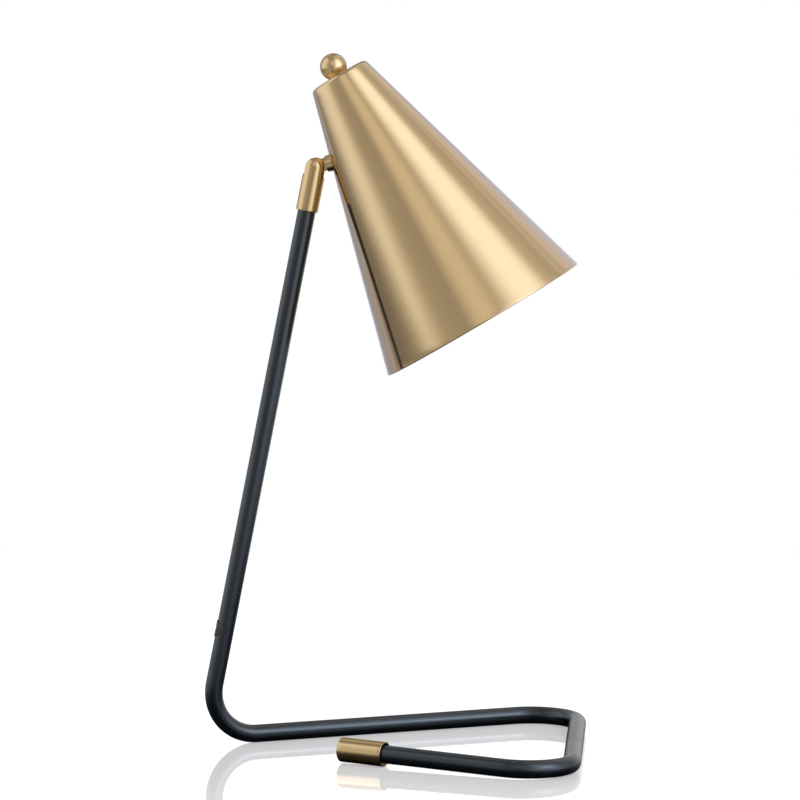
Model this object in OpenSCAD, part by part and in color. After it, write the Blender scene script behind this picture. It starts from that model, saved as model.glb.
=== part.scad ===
// Table lamp: one bent steel tube makes the triangular base and the stem, and a brass
// cone shade tilts on a forked sleeve at the top of the stem.
// Millimetres, +Z up. The origin lies on the table under the middle of the base.
// The stem leans in the XZ plane, towards +X, and the back run of the base lies on the +Y side.

/* [Tube] */
// Outside diameter of the bent tube
tube_d = 12.7; // [11:0.1:14]
// Wall of the bent tube
tube_wall = 1.2; // [0.8:0.1:1.6]
// Radius of every bend, to the centre line of the tube
bend_r = 33; // [28:1:40]

/* [Base] */
// Length of each side from the heel to a corner, between the sharp corners of the centre line
side_len = 294; // [260:1:320]
// Angle from the middle plane to the back run
back_heading = 26; // [22:0.5:30]
// Angle from the middle plane to the front run
front_heading = 24; // [22:0.5:30]
// Length of the front run, from its sharp corner to the outer face of the end cap
front_len = 176; // [150:1:200]

/* [Stem] */
// Lean of the stem from upright
stem_lean = 11.2; // [6:0.1:14]
// Distance along the stem from the heel to the bottom of the sleeve
sleeve_at = 382.6; // [330:0.1:420]

/* [End cap] */
// Outside diameter of the end cap
cap_d = 17.2; // [16.5:0.1:20]
// Length of the end cap
cap_len = 34.2; // [28:0.1:42]
// Thickness of the closed end of the cap
cap_end = 2.5; // [1.5:0.1:4]
// Depth of the wider mouth of the cap
cap_mouth = 4; // [2:0.1:8]
// Wall of the cap around its mouth
cap_lip = 1.2; // [0.8:0.1:1.5]

/* [Cord bush] */
// Distance along the stem from the heel to the cord bush
bush_at = 79; // [65:1:110]
// Turn of the bush towards the front from the back of the stem
bush_turn = 10; // [-15:1:15]
// Diameter of the bush flange
bush_d = 12; // [11:0.1:12.4]
// Thickness of the bush flange
bush_flange = 0.6; // [0.4:0.1:1.2]
// Diameter of the hole in the tube for the bush
bush_hole_d = 9; // [7.5:0.1:9.4]
// Bore of the bush for the cord
cord_bore_d = 4.6; // [4.4:0.1:6]

/* [Fork sleeve] */
// Outside diameter of the sleeve
sleeve_d = 15.6; // [15.3:0.1:17]
// Depth to which the tube goes into the sleeve
sleeve_grip = 16; // [12:0.5:20]
// Distance from the bottom of the sleeve to the pivot
pivot_up = 31.4; // [29:0.1:36]
// Width of the slot in the sleeve
slot_w = 8.4; // [8:0.1:9]
// Diameter of the pivot pins
pin_d = 4; // [3:0.1:4.4]
// Diameter of the set screw
set_screw_d = 3; // [2:0.1:3.4]
// Distance from the bottom of the sleeve to the set screw
set_screw_up = 8; // [5:0.5:9]
// Thickness of each friction washer
friction_t = 0.5; // [0.3:0.05:0.7]
// Diameter of the friction washers
friction_d = 10.6; // [8:0.1:11]

/* [Tongue] */
// Diameter of the eye
eye_d = 11.4; // [10:0.1:12]
// Thickness of each cheek beside the wire passage
cheek_t = 1.4; // [1.2:0.05:1.5]
// Height of the blade between the eye and the flange
blade_h = 9.2; // [7:0.1:10]
// Diameter of the flange
flange_d = 11.5; // [10:0.1:12]
// Thickness of the flange
flange_t = 1.8; // [1.2:0.1:2.5]
// Diameter of the threaded stub
stub_d = 8; // [6.5:0.1:9]
// Thread left showing past the stub nut
stub_past = 0.8; // [0:0.1:2]

/* [Shade joint] */
// Distance from the pivot to the outside of the shade wall, along the tongue
wall_reach = 11.6; // [11.2:0.1:15]
// Distance along the wall from the sharp top edge of the shade to the tongue
joint_down = 51.7; // [46:0.1:62]
// Thickness of the saddle washer at its thickest
saddle_t = 1.8; // [1.2:0.1:3]
// Diameter of the saddle washer
saddle_d = 12; // [11.5:0.1:14]
// Thickness of the washer inside the shade
inner_washer_t = 1.4; // [0.9:0.1:2]
// Diameter of the washer inside the shade
inner_washer_d = 15; // [14:0.1:18]
// Width across the flats of the stub nut
stub_nut_af = 13; // [12:0.1:14]
// Thickness of the stub nut
stub_nut_t = 4; // [3:0.1:5]

/* [Shade] */
// Tilt of the shade's axis from upright
shade_tilt = 30.7; // [25:0.1:36]
// Radius of the top of the shade, at its sharp edge
top_r = 21.7; // [20:0.1:25]
// Radius of the mouth of the shade
mouth_r = 77.5; // [68:0.5:90]
// Length of the shade along its axis
shade_len = 199; // [170:1:220]
// Thickness of the shade's sheet metal
sheet_t = 0.8; // [0.6:0.05:1.2]
// Radius of the rounded top edge, outside
top_fillet = 3.3; // [2:0.1:4]

/* [Finial] */
// Diameter of the ball
ball_d = 19; // [17:0.1:22]
// Height of the ball's centre above its flat seat
ball_up = 7; // [6:0.1:7.5]
// Depth of the thread in the ball
ball_thread = 8; // [6:0.5:10]
// Outside diameter of the threaded nipple
nipple_d = 10; // [8:0.1:10]
// Bore of the threaded nipple
nipple_bore_d = 7; // [5:0.1:7.5]
// Diameter of the washer under the top
top_washer_d = 22; // [18:0.1:26]
// Thickness of the washer under the top
top_washer_t = 1.2; // [0.8:0.1:2]
// Width across the flats of the top nut
top_nut_af = 14; // [13:0.1:16]
// Thickness of the top nut
top_nut_t = 3; // [2:0.1:4]

/* [Lamp holder] */
// Diameter of the lamp holder
holder_d = 38.8; // [37:0.1:40]
// Wall of the lamp holder
holder_wall = 2; // [1.6:0.1:2.2]
// Height of the threaded neck of the holder cap
neck_h = 3.5; // [2:0.1:4]
// Diameter of the neck of the holder cap
neck_d = 16; // [15:0.1:18]
// Depth of the thread in the holder cap
neck_thread = 5; // [4:0.1:6]
// Height of the sloping shoulder of the holder cap
shoulder_h = 7.5; // [6:0.1:9]
// Height of the straight part of the holder cap
cap_skirt_h = 11; // [10:0.1:14]
// Length of the holder body
body_len = 31; // [28:0.5:34]
// Depth from the top of the holder body to the ledge that carries the insulator
ledge_down = 6; // [5:0.1:8]
// Thickness of the insulator
insulator_t = 4; // [3:0.1:5]
// Inside diameter of the screw shell
screw_shell_d = 26.8; // [26.6:0.1:27.2]
// Sheet thickness of the screw shell
screw_shell_t = 0.5; // [0.3:0.05:0.8]
// Length of the screw shell
screw_shell_len = 23; // [20:0.5:25]
// Height of the centre contact
contact_h = 2.2; // [1.5:0.1:3]
// Width of the centre contact
contact_w = 7; // [5:0.1:9]
// Diameter of the terminal screws' heads
terminal_d = 6; // [5:0.1:7]
// Height of the terminal screws' heads
terminal_h = 2.2; // [1.5:0.1:3]
// Distance from the axis to each terminal screw
terminal_out = 10; // [9:0.1:12]

/* [Bulb] */
// Diameter of the bulb's glass
glass_d = 60; // [45:1:64]
// Length of the bulb's glass from the rim of its base to its end
glass_len = 79; // [70:1:84]
// Diameter of the bulb's neck
glass_neck_d = 24.8; // [24:0.1:25]
// Thickness of the glass
glass_t = 0.8; // [0.6:0.1:1.2]
// Diameter of the bulb's screw base
base_d = 26.2; // [26:0.1:26.4]
// Thickness of the screw base's sheet
base_t = 0.4; // [0.3:0.05:0.6]
// Length of the screw base
base_len = 23.5; // [22:0.1:25]
// Height of the black glass insulator at the bulb's tip
tip_glass_h = 3.1; // [2.5:0.1:4]
// Diameter of the bulb's tip contact
tip_d = 9; // [7:0.1:11]
// Height of the bulb's tip contact
tip_h = 1.2; // [0.8:0.1:2]

/* [Leads] */
// Diameter of the flexible lead inside the lamp
lead_d = 4; // [3:0.1:4]
// Radius of the lead's bends, to its centre line
lead_bend = 4.5; // [4.2:0.1:5]
// Distance from the shade's axis to the lead's straight stretch beside the holder
lead_out = 23; // [22:0.1:23.5]
// Distance from the shade's axis to the end of the lead in the holder
lead_in = 9; // [8:0.1:10]

/* [Clearances] */
// Gap round a piece that is pushed or screwed into place
push_fit = 0.05; // [0.02:0.01:0.1]
// Gap round the pivot pins, in the tongue and in the washers
pivot_fit = 0.05; // [0.02:0.01:0.08]
// Gap on each side of a friction washer
washer_play = 0.03; // [0.02:0.01:0.06]
// Gap round a lead or a screw in its hole
loose_fit = 0.3; // [0.2:0.05:0.5]
// Gap between the eye and the floor of the slot
slot_play = 0.4; // [0.3:0.05:0.8]

/* [Hidden] */
$fn = 96;

brass = [0.72, 0.59, 0.38];
steel = [0.72, 0.72, 0.73];
tube_paint = [0.10, 0.11, 0.13];
black_plastic = [0.06, 0.06, 0.06];
over = 1;
band_gap = 0.01;
band_w = 1;
band_t = 0.05;
shade_fn = 360;
fillet_steps = 12;
glass_steps = 14;
cap_edge = 1;
sleeve_edge = 0.6;
holder_edge = 1.5;
base_edge = 1.5;
screw_sunk = 0.2;
screw_slot = 0.8;
socket_depth = 1.2;
contact_len = 16;

tube_r = tube_d / 2;
tube_bore_r = tube_r - tube_wall;
bush_inner_r = tube_bore_r - 1;
cap_r = cap_d / 2;
sleeve_r = sleeve_d / 2;
lead_r = lead_d / 2;
pin_r = pin_d / 2;

function unit(v) = v / norm(v);

// A bend at the point b between the points a and c: the angle it turns through, the length it
// takes from each side, and the direction from the line a to b towards its centre.
function turn(a, b, c) = acos(unit(b - a) * unit(c - b));
function tangent_len(a, b, c, r) = r * tan(turn(a, b, c) / 2);
function inward(a, b, c) = let(u = unit(b - a), v = unit(c - b)) unit(v - (v * u) * u);

// The base rests on the table. The end cap is fatter than the tube, so the front run rises
// towards its free end by the difference in radius.
stem_dir = [sin(stem_lean), 0, cos(stem_lean)];
back_dir = [cos(back_heading), sin(back_heading), 0];
front_rise = asin((cap_r - tube_r) / (front_len - cap_len));
front_dir = [-cos(front_heading) * cos(front_rise), sin(front_heading) * cos(front_rise),
             sin(front_rise)];

// The leftmost point of the heel bend, measured from the sharp corner of the centre line
heel_u = -stem_dir;
heel_n = inward(stem_dir, [0, 0, 0], back_dir);
heel_t = tangent_len(stem_dir, [0, 0, 0], back_dir, bend_r);
heel_left = -heel_u.x * heel_t + heel_n.x * bend_r
    - bend_r * norm([heel_n.x, heel_u.x]) - tube_r;
loop_right = side_len * cos(back_heading) + tube_r;
middle_x = (heel_left + loop_right) / 2;

heel = [-middle_x, 0, tube_r];
back_corner = heel + side_len * back_dir;
front_corner = [back_corner.x, -back_corner.y, tube_r];
front_end = front_corner + front_len * front_dir;
tube_free_end = front_end - (cap_end + push_fit) * front_dir;
stem_top = heel + (sleeve_at + sleeve_grip) * stem_dir;
tube_path = [stem_top, heel, back_corner, front_corner, tube_free_end];

pivot_at = sleeve_at + pivot_up;
pivot = heel + pivot_at * stem_dir;
tongue_w = slot_w - 2 * (friction_t + 2 * washer_play);
passage_w = tongue_w - 2 * cheek_t;
slot_floor = pivot_at - eye_d / 2 - slot_play;

// The shade hangs on the tongue, which is square to the shade's wall.
half_angle = atan((mouth_r - top_r) / shade_len);
slope = tan(half_angle);
arm_tilt = shade_tilt - half_angle;
joint_z = -joint_down * cos(half_angle);
joint_r = top_r - slope * joint_z;
pivot_in_shade = [-joint_r - wall_reach * cos(half_angle), 0,
                  joint_z + wall_reach * sin(half_angle)];
arm_in_shade = [cos(half_angle), 0, -sin(half_angle)];
shade_x = [cos(shade_tilt), 0, sin(shade_tilt)];
shade_z = [-sin(shade_tilt), 0, cos(shade_tilt)];
shade_top = pivot - pivot_in_shade.x * shade_x - pivot_in_shade.z * shade_z;
inner_start = wall_reach + sheet_t;
stub_end = inner_start + inner_washer_t + stub_nut_t + stub_past;

// Heights on the shade's axis, from the outside of its top, downwards
washer_z = -sheet_t;
nut_z = washer_z - top_washer_t;
holder_z = nut_z - top_nut_t;
shoulder_z = holder_z - neck_h;
skirt_z = shoulder_z - shoulder_h;
body_z = skirt_z - cap_skirt_h;
insulator_z = body_z - ledge_down;
contact_z = insulator_z - contact_h;
tip_z = contact_z - tip_h;
base_z = tip_z - tip_glass_h;
glass_z = base_z - base_len;
holder_r = holder_d / 2;
glass_r = glass_d / 2;
glass_mid = glass_z - glass_len + glass_r;
neck_inside_base = 6;
lead_entry_z = skirt_z - cap_skirt_h / 2;
lead_end_z = insulator_z + insulator_t + loose_fit;
lead_corner = pivot_in_shade
    + (-lead_out - pivot_in_shade.x) / arm_in_shade.x * arm_in_shade;

// Frames: along the stem from the heel, at the pivot along the tongue, and down the shade
module stem_frame() { translate(heel) rotate([0, stem_lean, 0]) children(); }
module arm_frame() { translate(pivot) rotate([0, -arm_tilt, 0]) children(); }
module shade_frame() { translate(shade_top) rotate([0, -shade_tilt, 0]) children(); }
module bush_frame() {
    stem_frame() translate([0, 0, bush_at]) rotate([0, 0, 180 + bush_turn]) children();
}
module along_x() { rotate([0, 90, 0]) children(); }

module straight_rod(a, b, r) {
    d = unit(b - a);
    translate(a) rotate([0, acos(d.z), atan2(d.y, d.x)]) cylinder(r = r, h = norm(b - a));
}

module bend_rod(a, b, c, bend, r) {
    u = unit(b - a);
    n = inward(a, b, c);
    w = cross(u, n);
    o = b - u * tangent_len(a, b, c, bend) + n * bend;
    multmatrix([[-n.x, u.x, w.x, o.x], [-n.y, u.y, w.y, o.y], [-n.z, u.z, w.z, o.z]])
        rotate_extrude(angle = turn(a, b, c)) translate([bend, 0]) circle(r = r);
}

// A round rod along straight lines between points, with a bend at each point between the ends.
// Straights and bends stop a hair short of each other, and a thin band joins each pair.
module bent_rod(points, bend, r) {
    last = len(points) - 1;
    trims = [for (i = [0:last])
        i == 0 || i == last ? 0 :
        tangent_len(points[i - 1], points[i], points[i + 1], bend) + band_gap];
    for (i = [0:last - 1]) {
        u = unit(points[i + 1] - points[i]);
        straight_rod(points[i] + u * trims[i], points[i + 1] - u * trims[i + 1], r);
    }
    for (i = [1:last - 1]) {
        before = unit(points[i] - points[i - 1]);
        after = unit(points[i + 1] - points[i]);
        join_a = points[i] - before * trims[i];
        join_b = points[i] + after * trims[i];
        bend_rod(points[i - 1], points[i], points[i + 1], bend, r);
        straight_rod(join_a - before * band_w / 2, join_a + before * band_w / 2, r + band_t);
        straight_rod(join_b - after * band_w / 2, join_b + after * band_w / 2, r + band_t);
    }
}

function longer(points, by) = let(n = len(points) - 1) [
    for (i = [0:n])
        i == 0 ? points[0] + by * unit(points[0] - points[1]) :
        i == n ? points[n] + by * unit(points[n] - points[n - 1]) : points[i]];

function arc(centre, r, from, to, steps) = [
    for (i = [0:steps]) let(a = from + (to - from) * i / steps) centre + r * [cos(a), sin(a)]];

module hex_nut(af, t, bore_r) {
    difference() {
        cylinder(r = af / 2 / cos(30), h = t, $fn = 6);
        translate([0, 0, -over]) cylinder(r = bore_r, h = t + 2 * over);
    }
}

module washer(r, t, bore_r) {
    difference() {
        cylinder(r = r, h = t);
        translate([0, 0, -over]) cylinder(r = bore_r, h = t + 2 * over);
    }
}

module bent_tube() {
    color(tube_paint) difference() {
        bent_rod(tube_path, bend_r, tube_r);
        bent_rod(longer(tube_path, over), bend_r, tube_bore_r);
        bush_frame() along_x() cylinder(d = bush_hole_d, h = tube_d);
        stem_frame() translate([0, 0, sleeve_at + set_screw_up]) rotate([-90, 0, 0])
            cylinder(d = set_screw_d, h = tube_d);
    }
}

module end_cap() {
    color(brass) translate(front_end)
        rotate([0, acos(-front_dir.z), atan2(-front_dir.y, -front_dir.x)]) difference() {
            rotate_extrude() {
                square([cap_r - cap_edge, cap_len]);
                translate([0, cap_edge]) square([cap_r, cap_len - cap_edge]);
                translate([cap_r - cap_edge, cap_edge]) circle(r = cap_edge);
            }
            translate([0, 0, cap_end]) cylinder(r = tube_r + push_fit, h = cap_len);
            translate([0, 0, cap_len - cap_mouth]) cylinder(r = cap_r - cap_lip, h = cap_len);
        }
}

// A flange that follows the tube's outside, and a plug through the hole in its wall
module cord_bush() {
    color(black_plastic) bush_frame() difference() {
        union() {
            intersection() {
                along_x() cylinder(d = bush_d, h = tube_d);
                difference() {
                    cylinder(r = tube_r + bush_flange, h = tube_d * 2, center = true);
                    cylinder(r = tube_r, h = tube_d * 3, center = true);
                }
            }
            intersection() {
                translate([bush_inner_r, 0, 0]) along_x()
                    cylinder(r = bush_hole_d / 2 - push_fit, h = tube_d);
                cylinder(r = tube_r + bush_flange, h = tube_d * 2, center = true);
            }
        }
        along_x() cylinder(d = cord_bore_d, h = tube_d * 2);
    }
}

// A turned sleeve with a domed top, slotted into a fork
module fork_sleeve() {
    color(brass) stem_frame() difference() {
        union() {
            rotate_extrude() {
                translate([0, sleeve_at]) square([sleeve_r - sleeve_edge, pivot_up]);
                translate([0, sleeve_at + sleeve_edge]) square([sleeve_r, pivot_up - sleeve_edge]);
                translate([sleeve_r - sleeve_edge, sleeve_at + sleeve_edge]) circle(r = sleeve_edge);
            }
            translate([0, 0, pivot_at]) sphere(r = sleeve_r);
        }
        translate([0, 0, sleeve_at - over])
            cylinder(r = tube_r + push_fit, h = sleeve_grip + over);
        translate([0, 0, sleeve_at]) cylinder(r = lead_r + loose_fit, h = pivot_up);
        translate([-sleeve_d, -slot_w / 2, slot_floor]) cube([2 * sleeve_d, slot_w, sleeve_d * 2]);
        translate([0, 0, pivot_at]) rotate([90, 0, 0])
            cylinder(r = pin_r, h = sleeve_d * 2, center = true);
        translate([0, 0, sleeve_at + set_screw_up]) rotate([-90, 0, 0])
            cylinder(d = set_screw_d, h = sleeve_d);
    }
}

// It runs through the walls of the sleeve and the tube, and keeps the sleeve from turning.
module sleeve_set_screw() {
    socket_r = set_screw_d / 4 / cos(30);
    point_at = tube_bore_r + push_fit;
    head_at = sleeve_r - screw_sunk;
    color(steel) stem_frame() translate([0, 0, sleeve_at + set_screw_up]) rotate([-90, 0, 0])
        difference() {
            translate([0, 0, point_at]) cylinder(d = set_screw_d, h = head_at - point_at);
            translate([0, 0, head_at - socket_depth]) cylinder(r = socket_r, h = sleeve_r, $fn = 6);
        }
}

// Two pins, one in each ear of the fork, with rounded ends flush with the sleeve. The wires
// pass between them.
module pivot_pins() {
    color(brass) stem_frame() translate([0, 0, pivot_at]) intersection() {
        difference() {
            rotate([90, 0, 0]) cylinder(r = pin_r, h = sleeve_d, center = true);
            cube([sleeve_d, passage_w, sleeve_d], center = true);
        }
        sphere(r = sleeve_r);
    }
}

module friction_washers() {
    color(steel) stem_frame() translate([0, 0, pivot_at])
        for (side = [-1, 1])
            translate([0, side * (tongue_w / 2 + washer_play + friction_t / 2), 0])
                rotate([90, 0, 0]) translate([0, 0, -friction_t / 2])
                    washer(friction_d / 2, friction_t, pin_r + pivot_fit);
}

// From behind the cord bush, up the middle of the stem, to just below the tilting lead
module stem_lead() {
    start_r = bush_inner_r - loose_fit;
    away = [cos(180 + bush_turn), sin(180 + bush_turn), 0];
    top = pivot_at - lead_r - loose_fit;
    color(black_plastic) stem_frame()
        bent_rod([[0, 0, bush_at] + start_r * away, [0, 0, bush_at], [0, 0, top]],
                 start_r - band_w, lead_r);
}

// The eye, a blade, a round flange and a threaded stub, with a slot and a bore for the wires
module tongue() {
    slot_end = lead_r + tongue_w / 4;
    flange_at = wall_reach - saddle_t - flange_t;
    passage_r = lead_r + (passage_w - lead_d) / 2;
    color(brass) arm_frame() difference() {
        union() {
            rotate([90, 0, 0]) cylinder(d = eye_d, h = tongue_w, center = true);
            translate([0, -tongue_w / 2, -blade_h / 2]) cube([flange_at, tongue_w, blade_h]);
            translate([flange_at, 0, 0]) along_x() cylinder(d = flange_d, h = flange_t);
            translate([flange_at, 0, 0]) along_x() cylinder(d = stub_d, h = stub_end - flange_at);
        }
        translate([-eye_d, -passage_w / 2, -eye_d]) cube([eye_d + slot_end, passage_w, 2 * eye_d]);
        along_x() cylinder(r = passage_r, h = stub_end + over);
        rotate([90, 0, 0]) cylinder(r = pin_r + pivot_fit, h = sleeve_d, center = true);
    }
}

// The shade as a solid, with its outside moved in by a depth. Its profile is the line of the
// top, an arc tangent to it and to the wall, and the line of the wall.
module shade_solid(depth) {
    arc_x = top_r + slope * top_fillet - top_fillet / cos(half_angle);
    wall_x = top_r - depth / cos(half_angle);
    down = shade_len + (depth > 0 ? over : 0);
    rotate_extrude($fn = shade_fn) polygon(concat(
        [[0, -depth]],
        arc([arc_x, -top_fillet], top_fillet - depth, 90, half_angle, fillet_steps),
        [[wall_x + slope * down, -down], [0, -down]]));
}

module shade_shell() {
    color(brass) difference() {
        shade_frame() difference() {
            shade_solid(0);
            shade_solid(sheet_t);
            translate([0, 0, -sheet_t - over])
                cylinder(r = nipple_d / 2 + push_fit, h = sheet_t + 2 * over);
        }
        arm_frame() along_x() cylinder(r = stub_d / 2 + push_fit, h = stub_end);
    }
}

module saddle_washer() {
    start = wall_reach - saddle_t;
    color(brass) difference() {
        arm_frame() translate([start, 0, 0]) along_x()
            washer(saddle_d / 2, saddle_t + over, stub_d / 2 + push_fit);
        shade_frame() shade_solid(0);
    }
}

module inner_washer() {
    color(steel) intersection() {
        arm_frame() translate([wall_reach, 0, 0]) along_x()
            washer(inner_washer_d / 2, sheet_t + inner_washer_t, stub_d / 2 + push_fit);
        shade_frame() shade_solid(sheet_t);
    }
}

module stub_nut() {
    color(steel) arm_frame() translate([inner_start + inner_washer_t, 0, 0]) along_x()
        hex_nut(stub_nut_af, stub_nut_t, stub_d / 2 + push_fit);
}

module finial_ball() {
    color(brass) shade_frame() difference() {
        translate([0, 0, ball_up]) sphere(d = ball_d);
        translate([0, 0, -ball_d / 2]) cube([ball_d, ball_d, ball_d], center = true);
        translate([0, 0, -over]) cylinder(r = nipple_d / 2 + push_fit, h = ball_thread + over);
    }
}

module threaded_nipple() {
    top = ball_thread - loose_fit;
    bottom = holder_z - neck_thread;
    color(steel) shade_frame() difference() {
        translate([0, 0, bottom]) cylinder(d = nipple_d, h = top - bottom);
        translate([0, 0, bottom - over]) cylinder(d = nipple_bore_d, h = top - bottom + 2 * over);
    }
}

module top_washer() {
    color(steel) shade_frame() translate([0, 0, nut_z])
        washer(top_washer_d / 2, top_washer_t, nipple_d / 2 + push_fit);
}

module top_nut() {
    color(steel) shade_frame() translate([0, 0, holder_z])
        hex_nut(top_nut_af, top_nut_t, nipple_d / 2 + push_fit);
}

module holder_cap() {
    bore = nipple_d / 2 + push_fit;
    inner_r = holder_r - holder_wall;
    color(black_plastic) shade_frame() difference() {
        rotate_extrude() polygon([
            [bore, holder_z], [neck_d / 2, holder_z], [neck_d / 2, shoulder_z],
            [holder_r, skirt_z], [holder_r, body_z], [inner_r, body_z],
            [inner_r, skirt_z - holder_wall / 3], [bore + holder_edge, holder_z - neck_thread],
            [bore, holder_z - neck_thread]]);
        translate([-lead_in, 0, lead_entry_z]) rotate([0, -90, 0])
            cylinder(r = lead_r + loose_fit, h = holder_d);
    }
}

// A tube with a lip at its mouth and a ledge inside, which carries the insulator
module holder_body() {
    inner_r = holder_r - holder_wall;
    ledge_r = screw_shell_d / 2 + screw_shell_t + over;
    bottom = body_z - body_len;
    color(black_plastic) shade_frame() rotate_extrude() polygon([
        [inner_r, body_z], [holder_r, body_z], [holder_r, bottom + holder_edge],
        [holder_r - holder_edge, bottom], [ledge_r, bottom], [ledge_r, bottom + holder_wall],
        [inner_r, bottom + 2 * holder_wall], [inner_r, insulator_z - 2 * holder_wall],
        [ledge_r, insulator_z - holder_wall], [ledge_r, insulator_z], [inner_r, insulator_z]]);
}

module holder_insulator() {
    color("white") shade_frame() translate([0, 0, insulator_z])
        cylinder(r = holder_r - holder_wall - push_fit, h = insulator_t);
}

module screw_shell() {
    color(steel) shade_frame() translate([0, 0, insulator_z - screw_shell_len])
        washer(screw_shell_d / 2 + screw_shell_t, screw_shell_len, screw_shell_d / 2);
}

module centre_contact() {
    color(brass) shade_frame() translate([-contact_len / 2, -contact_w / 2, contact_z])
        cube([contact_len, contact_w, contact_h]);
}

module terminal_screws() {
    color(brass) shade_frame() translate([0, 0, insulator_z + insulator_t])
        for (side = [-1, 1]) translate([0, side * terminal_out, 0]) difference() {
            cylinder(d = terminal_d, h = terminal_h);
            translate([-terminal_d, -screw_slot / 2, terminal_h - screw_slot])
                cube([2 * terminal_d, screw_slot, terminal_h]);
        }
}

// From the pivot through the tongue, up beside the lamp holder and in at its side
module shade_lead() {
    color(black_plastic) shade_frame() {
        bent_rod([pivot_in_shade, lead_corner, [-lead_out, 0, lead_entry_z],
                  [-lead_in, 0, lead_entry_z], [-lead_in, 0, lead_end_z]], lead_bend, lead_r);
        translate(pivot_in_shade) sphere(r = lead_r);
    }
}

// The glass swells from the neck to its full radius as the square of a sine, and ends in a
// half circle.
function glass_profile(r, neck_r) = [
    for (i = [0:glass_steps]) let(share = i / glass_steps)
        [neck_r + (r - neck_r) * pow(sin(90 * share), 2), glass_z + share * (glass_mid - glass_z)]];
function glass_end(r) = [
    for (i = [1:glass_steps]) let(a = 90 * i / glass_steps) [r * cos(a), glass_mid - r * sin(a)]];

module bulb_glass() {
    neck_r = glass_neck_d / 2;
    top = glass_z + neck_inside_base;
    color("white") shade_frame() difference() {
        rotate_extrude() polygon(concat([[0, top], [neck_r, top]],
            glass_profile(glass_r, neck_r), glass_end(glass_r)));
        rotate_extrude() polygon(concat([[0, top + over], [neck_r - glass_t, top + over]],
            glass_profile(glass_r - glass_t, neck_r - glass_t), glass_end(glass_r - glass_t)));
    }
}

module bulb_base() {
    base_r = base_d / 2;
    inner_r = base_r - base_t;
    color(steel) shade_frame() rotate_extrude() polygon([
        [base_r - base_edge, base_z], [base_r, base_z - base_edge], [base_r, glass_z],
        [inner_r, glass_z], [inner_r, base_z - base_edge - base_t],
        [inner_r - base_edge, base_z - base_t], [tip_d / 2, base_z - base_t], [tip_d / 2, base_z]]);
}

module bulb_tip_glass() {
    color(black_plastic) shade_frame() rotate_extrude() polygon([
        [0, tip_z], [tip_d / 2, tip_z], [base_d / 2 - 2 * base_edge, base_z], [0, base_z]]);
}

module bulb_tip_contact() {
    color(steel) shade_frame() translate([0, 0, tip_z]) cylinder(d = tip_d, h = tip_h);
}

bent_tube();
end_cap();
cord_bush();
fork_sleeve();
sleeve_set_screw();
pivot_pins();
friction_washers();
stem_lead();
tongue();
saddle_washer();
inner_washer();
stub_nut();
shade_shell();
finial_ball();
threaded_nipple();
top_washer();
top_nut();
holder_cap();
holder_body();
holder_insulator();
screw_shell();
centre_contact();
terminal_screws();
shade_lead();
bulb_glass();
bulb_base();
bulb_tip_glass();
bulb_tip_contact();
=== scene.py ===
"""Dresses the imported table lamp: its smooth surfaces, its finishes, the studio and the camera.

Sizes are in millimetres, as in the part's source, and become metres where a mesh is made.
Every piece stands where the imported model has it, and rides on one of its two bodies.
"""

import logging
import math
from dataclasses import dataclass
from enum import Enum
from typing import Callable, Optional, Sequence, Union

import bmesh
import bpy
import numpy as np
from mathutils import Matrix, Vector


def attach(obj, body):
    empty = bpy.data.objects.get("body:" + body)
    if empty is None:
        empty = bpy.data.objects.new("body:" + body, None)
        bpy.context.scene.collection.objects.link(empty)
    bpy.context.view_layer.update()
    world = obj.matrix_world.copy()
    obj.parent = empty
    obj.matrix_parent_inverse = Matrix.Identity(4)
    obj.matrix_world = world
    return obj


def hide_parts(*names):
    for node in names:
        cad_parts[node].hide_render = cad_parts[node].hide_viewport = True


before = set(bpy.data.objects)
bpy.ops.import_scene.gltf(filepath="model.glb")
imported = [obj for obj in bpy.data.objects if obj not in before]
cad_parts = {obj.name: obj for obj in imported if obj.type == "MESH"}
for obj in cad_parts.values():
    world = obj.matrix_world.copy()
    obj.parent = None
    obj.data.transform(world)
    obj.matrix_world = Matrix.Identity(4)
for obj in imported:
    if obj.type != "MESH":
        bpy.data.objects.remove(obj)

LOG = logging.getLogger("table_lamp")
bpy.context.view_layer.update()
MM = 0.001
# How near points are that become one, in metres: in new meshes, and in imported ones.
SAME_POINT = 1e-7
WELD_REACH = 1e-6
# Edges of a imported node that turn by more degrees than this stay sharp.
NODE_SHARP = 30.0
# Parts of a drill's full turn.
DRILL_RING = 40
# The upright share of a direction above which it is taken for upright.
NEARLY_UPRIGHT = 0.9

Array = np.ndarray
Triple = tuple[float, float, float]
Colour = Triple
Ripple = Callable[[Array, Array, Array], Array]

WHITE: Colour = (1.0, 1.0, 1.0)
# The colours in which the soft lights' cloths are seen.
COOL: Colour = (0.9, 1.0, 1.16)
NEARLY_WHITE: Colour = (0.94, 1.0, 1.08)
WARM: Colour = (1.0, 1.0, 0.96)


class Body(Enum):
    """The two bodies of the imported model."""

    STAND = "stand"
    SHADE_HEAD = "shade_head"


class Slot(Enum):
    """The record's material slots, one of which is named with each new piece."""

    TUBE_PAINT = "tube_paint"
    BRASS = "brass"
    STEEL = "steel"
    BLACK_PLASTIC = "black_plastic"
    LEAD_SHEATH = "lead_sheath"
    OPAL_GLASS = "opal_glass"
    BULB_SHELL = "bulb_shell"


def unit(v: Array) -> Array:
    """The vector at length one."""
    return v / np.linalg.norm(v)


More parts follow.
